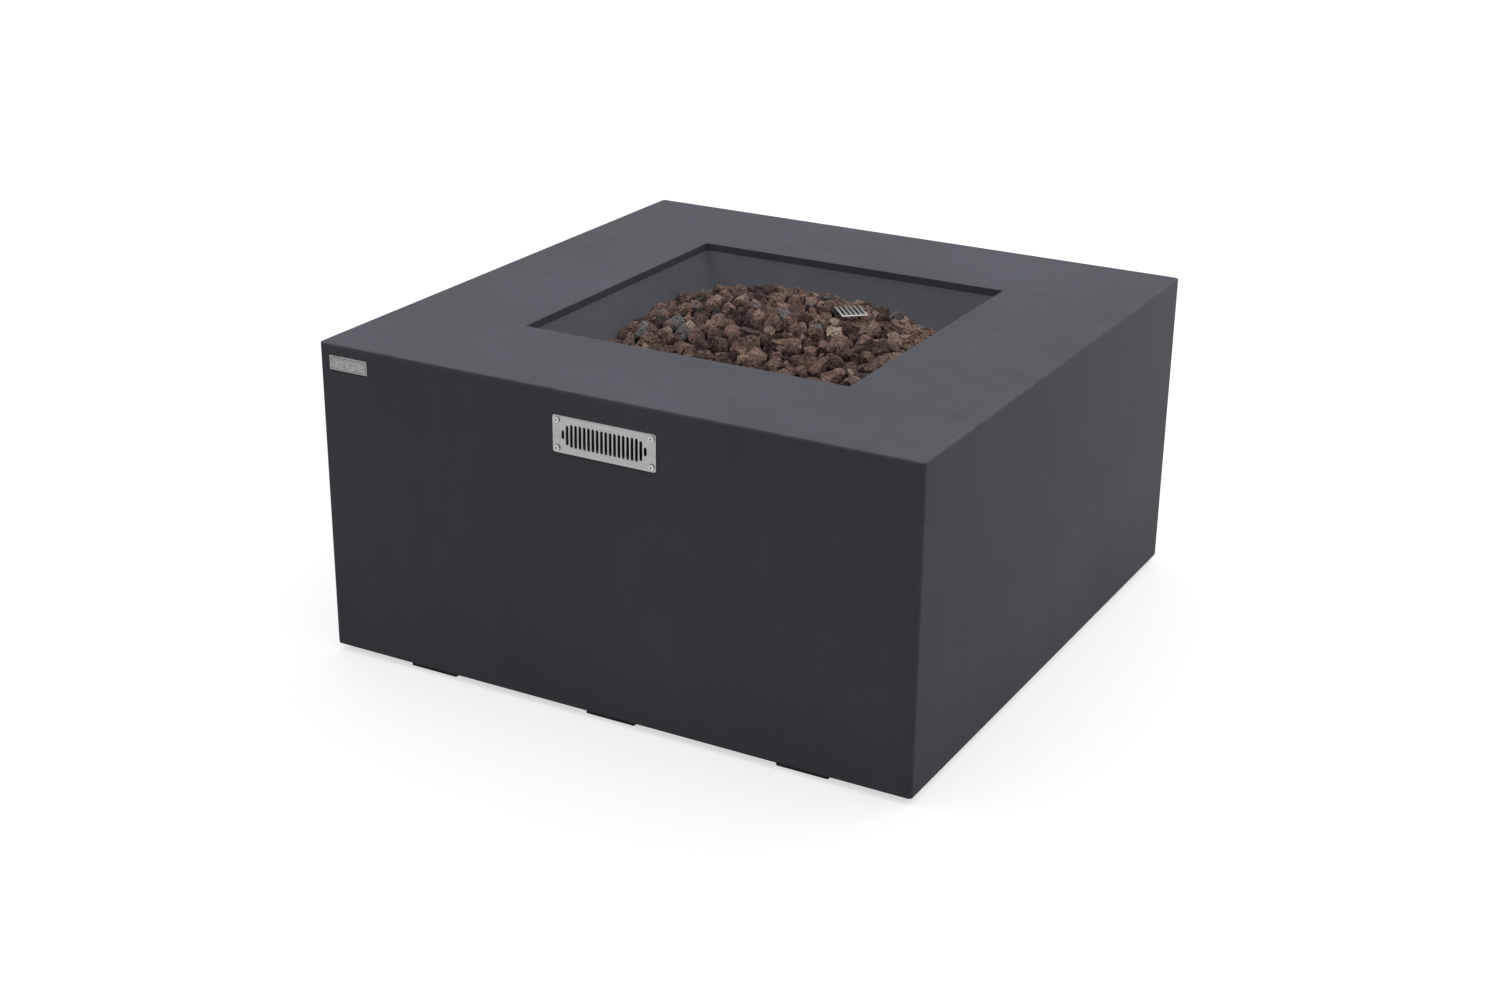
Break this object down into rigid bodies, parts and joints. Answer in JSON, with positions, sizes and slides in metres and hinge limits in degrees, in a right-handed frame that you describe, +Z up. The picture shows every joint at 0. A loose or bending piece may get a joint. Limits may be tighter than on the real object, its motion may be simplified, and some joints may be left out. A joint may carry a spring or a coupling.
{
  "type": "gas fire table",
  "caption": "Low square gas fire table cast in charcoal concrete, with a sunken bowl of lava rock, slotted vent grilles, a knob and an igniter button.",
  "frame": {"origin": "on the ground at the centre of the whole object's plan box, which is 14.9 mm to -X of the casing's centre, because the knob stands out on that side", "axes": "+Z up, -Y out of the front with the nameplate, -X out of the side with the gas controls"},
  "size_m": [0.9438, 0.9222, 0.467],
  "materials": {
    "concrete": "matte charcoal cast concrete with faint clouding and pores",
    "basin_concrete": "matte charcoal cast concrete, a little paler",
    "foot_pad": "dark moulded pad",
    "stainless": "satin",
    "screw_steel": "polished",
    "lava_rock": "rough porous brown lava rock",
    "electrode_ceramic": "sooted glaze",
    "galvanised": "zinc spangle",
    "brass": "machined",
    "copper": "drawn tube",
    "lead_sleeve": "silicone sleeve",
    "black_plastic": "satin",
    "spring_steel": "drawn wire"
  },
  "bodies": {
    "fire_table": {"casing": "concrete", "fire_basin": "basin_concrete", "foot_front_1": "foot_pad", "foot_front_2": "foot_pad", "foot_front_3": "foot_pad", "foot_rear_1": "foot_pad", "foot_rear_2": "foot_pad", "foot_rear_3": "foot_pad", "burner_pan": "stainless", "burner_ring": "stainless", "pilot_hood": "stainless", "thermocouple": "stainless", "front_vent_grille": "stainless", "rear_vent_grille": "stainless", "nameplate": "stainless", "control_plate": "stainless", "front_vent_screw_1": "screw_steel", "front_vent_screw_2": "screw_steel", "front_vent_screw_3": "screw_steel", "front_vent_screw_4": "screw_steel", "rear_vent_screw_1": "screw_steel", "rear_vent_screw_2": "screw_steel", "rear_vent_screw_3": "screw_steel", "rear_vent_screw_4": "screw_steel", "control_plate_screw_1": "screw_steel", "control_plate_screw_2": "screw_steel", "control_plate_screw_3": "screw_steel", "control_plate_screw_4": "screw_steel", "valve_screw_1": "screw_steel", "valve_screw_2": "screw_steel", "lava_rock_bed": "lava_rock", "igniter_electrode": "electrode_ceramic", "heat_baffle": "galvanised", "air_mixer": "galvanised", "gas_pipe": "galvanised", "baffle_post_1": "galvanised", "baffle_post_2": "galvanised", "baffle_post_3": "galvanised", "baffle_post_4": "galvanised", "burner_nut": "brass", "feed_elbow": "brass", "gas_orifice": "brass", "gas_valve": "brass", "gas_inlet_fitting": "brass", "thermocouple_lead": "copper", "ignition_lead": "lead_sleeve", "igniter_barrel": "black_plastic", "igniter_nut": "black_plastic", "knob_return_spring": "spring_steel", "igniter_spring": "spring_steel"},
    "press_collar": {"press_collar": "brass"},
    "control_knob": {"control_knob": "black_plastic", "valve_spindle": "brass"},
    "igniter_button": {"igniter_button": "black_plastic"}
  },
  "joints": [
    {"name": "knob_press", "type": "slide", "parent": "fire_table", "child": "press_collar", "axis": [1, 0, 0], "range_m": [0, 0.0035], "stiffness_N_per_m": 1200, "springref_m": -0.002, "deforming": ["knob_return_spring"]},
    {"name": "knob_turn", "type": "hinge", "parent": "press_collar", "child": "control_knob", "pos_m": [-0.4421, 0.03, 0.262], "axis": [-1, 0, 0], "range_deg": [0, 180]},
    {"name": "igniter_press", "type": "slide", "parent": "fire_table", "child": "igniter_button", "axis": [1, 0, 0], "range_m": [0, 0.0045], "stiffness_N_per_m": 800, "springref_m": -0.002, "deforming": ["igniter_spring"]}
  ]
}
